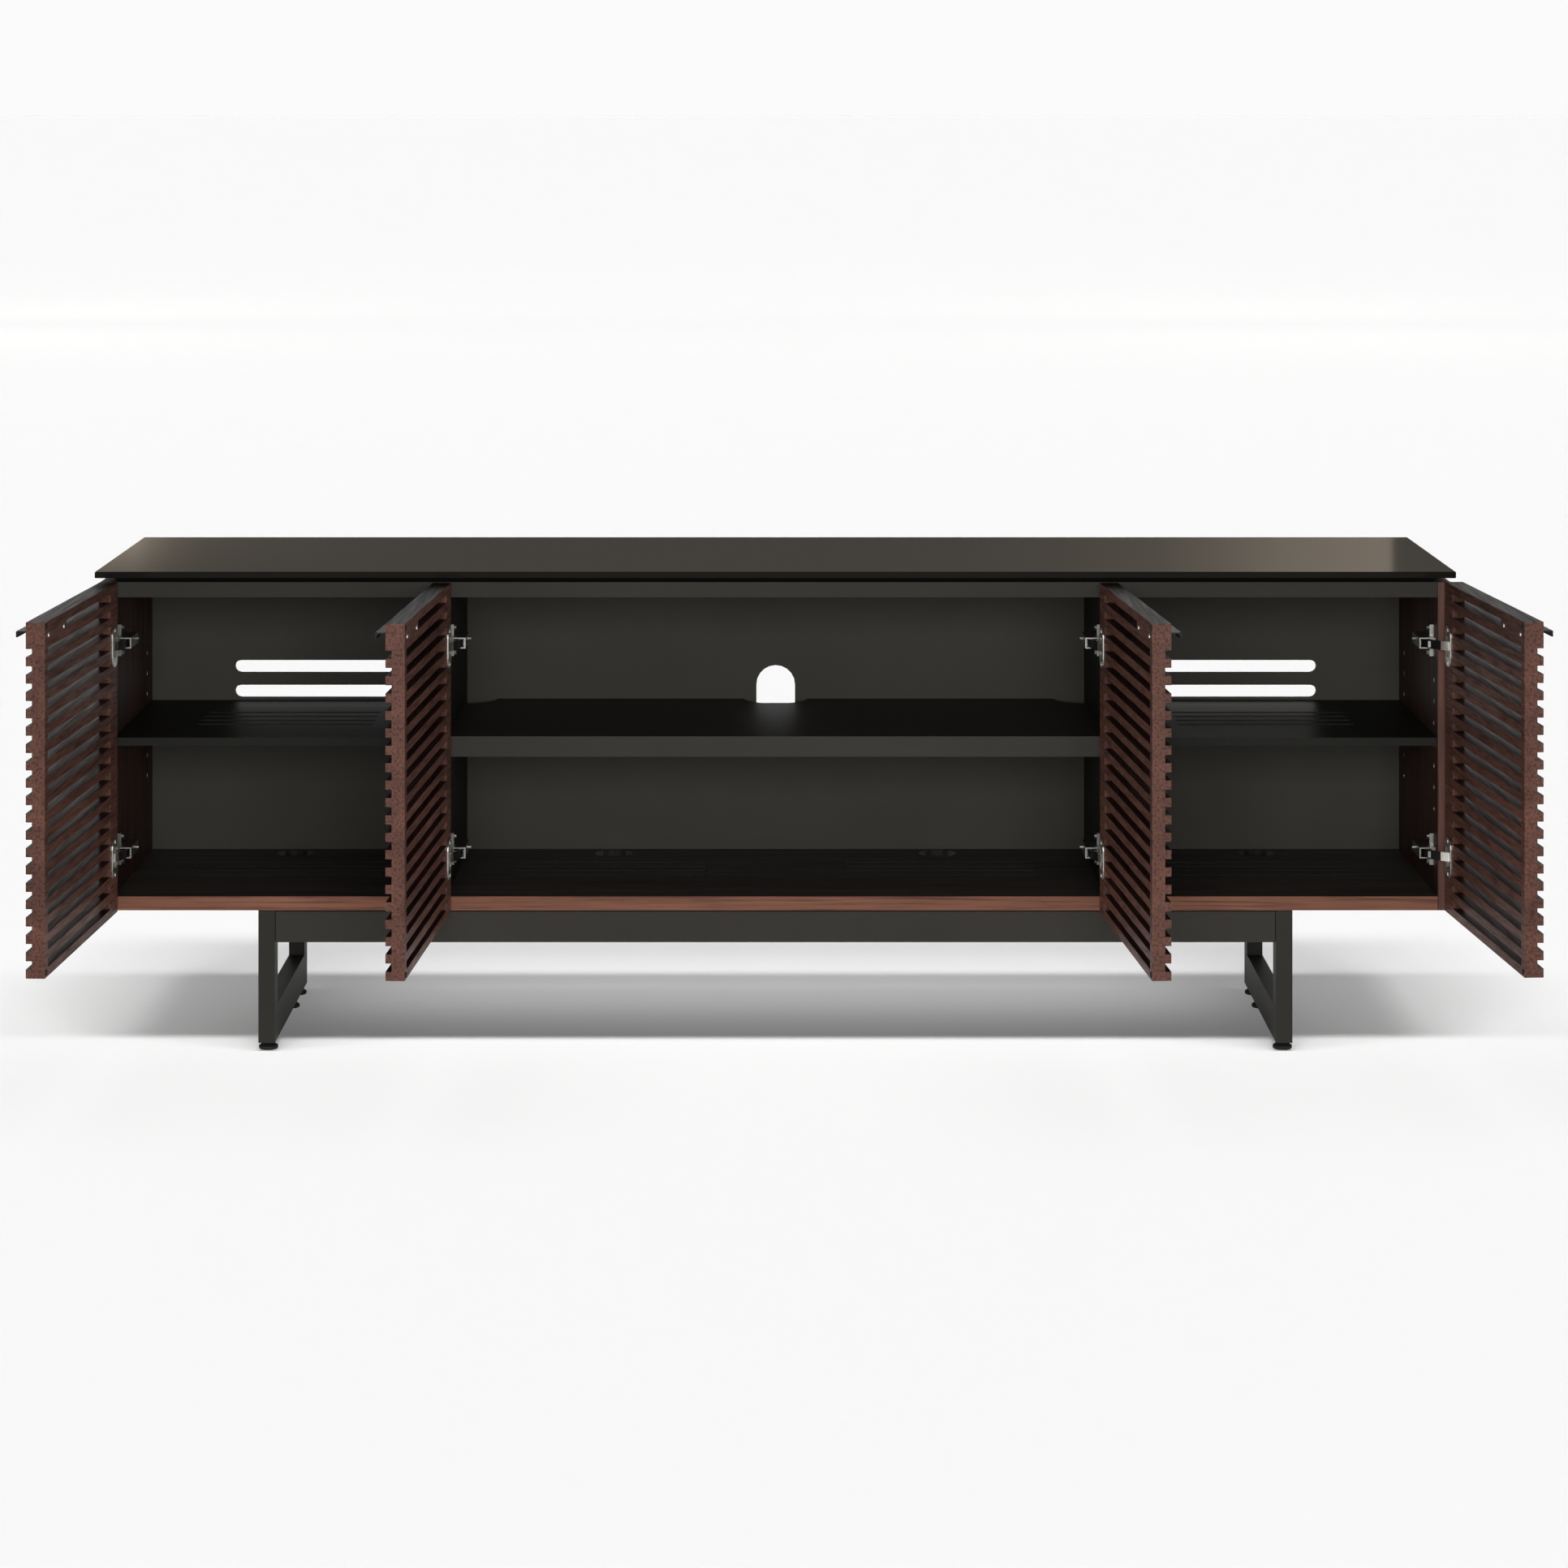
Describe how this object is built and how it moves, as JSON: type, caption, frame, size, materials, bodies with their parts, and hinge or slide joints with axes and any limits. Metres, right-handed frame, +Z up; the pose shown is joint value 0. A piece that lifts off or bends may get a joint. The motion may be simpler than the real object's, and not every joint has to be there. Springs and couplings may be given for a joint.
{
  "type": "media cabinet",
  "caption": "Low wide media cabinet with a dark glass top, slatted walnut doors on concealed hinges, open shelving bays and a steel sled-leg base.",
  "frame": {"origin": "on the floor, under the centre of the whole object's box with its doors standing open", "axes": "+X to the right seen from the front, +Y towards the back, +Z up"},
  "size_m": [2.1122, 0.997, 0.72],
  "materials": {
    "walnut": "satin lacquered walnut",
    "walnut_edge": "satin walnut lipping",
    "grey_board": "matt dark painted board",
    "black_board": "satin black board",
    "tinted_glass": "opaque dark back-painted glass",
    "dark_steel": "fine dark powder coat",
    "leveller_black": "matt black",
    "nickel": "nickel plated"
  },
  "bodies": {
    "cabinet": {"glass_top": "tinted_glass", "top_deck": "black_board", "top_board": "grey_board", "bottom_board": "grey_board", "bottom_lipping": "walnut_edge", "side_panel_left": "walnut", "divider_left": "grey_board", "shelf_left": "black_board", "back_panel_left": "grey_board", "leg_frame_left": "dark_steel", "leg_plate_left": "dark_steel", "shelf_pin_outer_front_left": "nickel", "shelf_pin_outer_rear_left": "nickel", "hinge_arm_left_outer_lower": "nickel", "hinge_arm_left_outer_upper": "nickel", "shelf_pin_inner_front_left": "nickel", "shelf_pin_inner_rear_left": "nickel", "hinge_arm_left_inner_lower": "nickel", "hinge_arm_left_inner_upper": "nickel", "side_panel_right": "walnut", "divider_right": "grey_board", "shelf_right": "black_board", "back_panel_right": "grey_board", "leg_frame_right": "dark_steel", "leg_plate_right": "dark_steel", "shelf_pin_outer_front_right": "nickel", "shelf_pin_outer_rear_right": "nickel", "hinge_arm_right_outer_lower": "nickel", "hinge_arm_right_outer_upper": "nickel", "shelf_pin_inner_front_right": "nickel", "shelf_pin_inner_rear_right": "nickel", "hinge_arm_right_inner_lower": "nickel", "hinge_arm_right_inner_upper": "nickel", "back_panel_middle": "grey_board", "shelf_middle": "black_board", "beam_front": "dark_steel", "beam_rear": "dark_steel"},
    "door_left_outer_body": {"door_left_outer": "walnut", "pull_left_outer": "dark_steel", "hinge_cup_left_outer_lower": "nickel", "hinge_cup_left_outer_upper": "nickel"},
    "door_left_inner_body": {"door_left_inner": "walnut", "pull_left_inner": "dark_steel", "hinge_cup_left_inner_lower": "nickel", "hinge_cup_left_inner_upper": "nickel"},
    "door_right_inner_body": {"door_right_inner": "walnut", "pull_right_inner": "dark_steel", "hinge_cup_right_inner_lower": "nickel", "hinge_cup_right_inner_upper": "nickel"},
    "door_right_outer_body": {"door_right_outer": "walnut", "pull_right_outer": "dark_steel", "hinge_cup_right_outer_lower": "nickel", "hinge_cup_right_outer_upper": "nickel"},
    "foot_front_left_body": {"foot_front_left": "leveller_black"},
    "foot_mid_left_body": {"foot_mid_left": "leveller_black"},
    "foot_rear_left_body": {"foot_rear_left": "leveller_black"},
    "foot_front_right_body": {"foot_front_right": "leveller_black"},
    "foot_mid_right_body": {"foot_mid_right": "leveller_black"},
    "foot_rear_right_body": {"foot_rear_right": "leveller_black"}
  },
  "joints": [
    {"name": "door_left_outer_swing", "type": "hinge", "parent": "cabinet", "child": "door_left_outer_body", "pos_m": [-1.00872, 0.00397, 0.4587], "axis": [0, 0, -1], "range_deg": [-92.9, 17.1]},
    {"name": "door_left_inner_swing", "type": "hinge", "parent": "cabinet", "child": "door_left_inner_body", "pos_m": [-0.51582, 0.00197, 0.4587], "axis": [0, 0, -1], "range_deg": [-92.9, 9.1]},
    {"name": "door_right_inner_swing", "type": "hinge", "parent": "cabinet", "child": "door_right_inner_body", "pos_m": [0.48818, 0.00197, 0.4587], "axis": [0, 0, 1], "range_deg": [-94, 8]},
    {"name": "door_right_outer_swing", "type": "hinge", "parent": "cabinet", "child": "door_right_outer_body", "pos_m": [0.98728, 0.01597, 0.4587], "axis": [0, 0, 1], "range_deg": [-94, 16]},
    {"name": "foot_front_left_level", "type": "slide", "parent": "cabinet", "child": "foot_front_left_body", "axis": [0, 0, -1], "range_m": [-0.0025, 0.012]},
    {"name": "foot_mid_left_level", "type": "slide", "parent": "cabinet", "child": "foot_mid_left_body", "axis": [0, 0, -1], "range_m": [-0.0025, 0.012]},
    {"name": "foot_rear_left_level", "type": "slide", "parent": "cabinet", "child": "foot_rear_left_body", "axis": [0, 0, -1], "range_m": [-0.0025, 0.012]},
    {"name": "foot_front_right_level", "type": "slide", "parent": "cabinet", "child": "foot_front_right_body", "axis": [0, 0, -1], "range_m": [-0.0025, 0.012]},
    {"name": "foot_mid_right_level", "type": "slide", "parent": "cabinet", "child": "foot_mid_right_body", "axis": [0, 0, -1], "range_m": [-0.0025, 0.012]},
    {"name": "foot_rear_right_level", "type": "slide", "parent": "cabinet", "child": "foot_rear_right_body", "axis": [0, 0, -1], "range_m": [-0.0025, 0.012]}
  ]
}
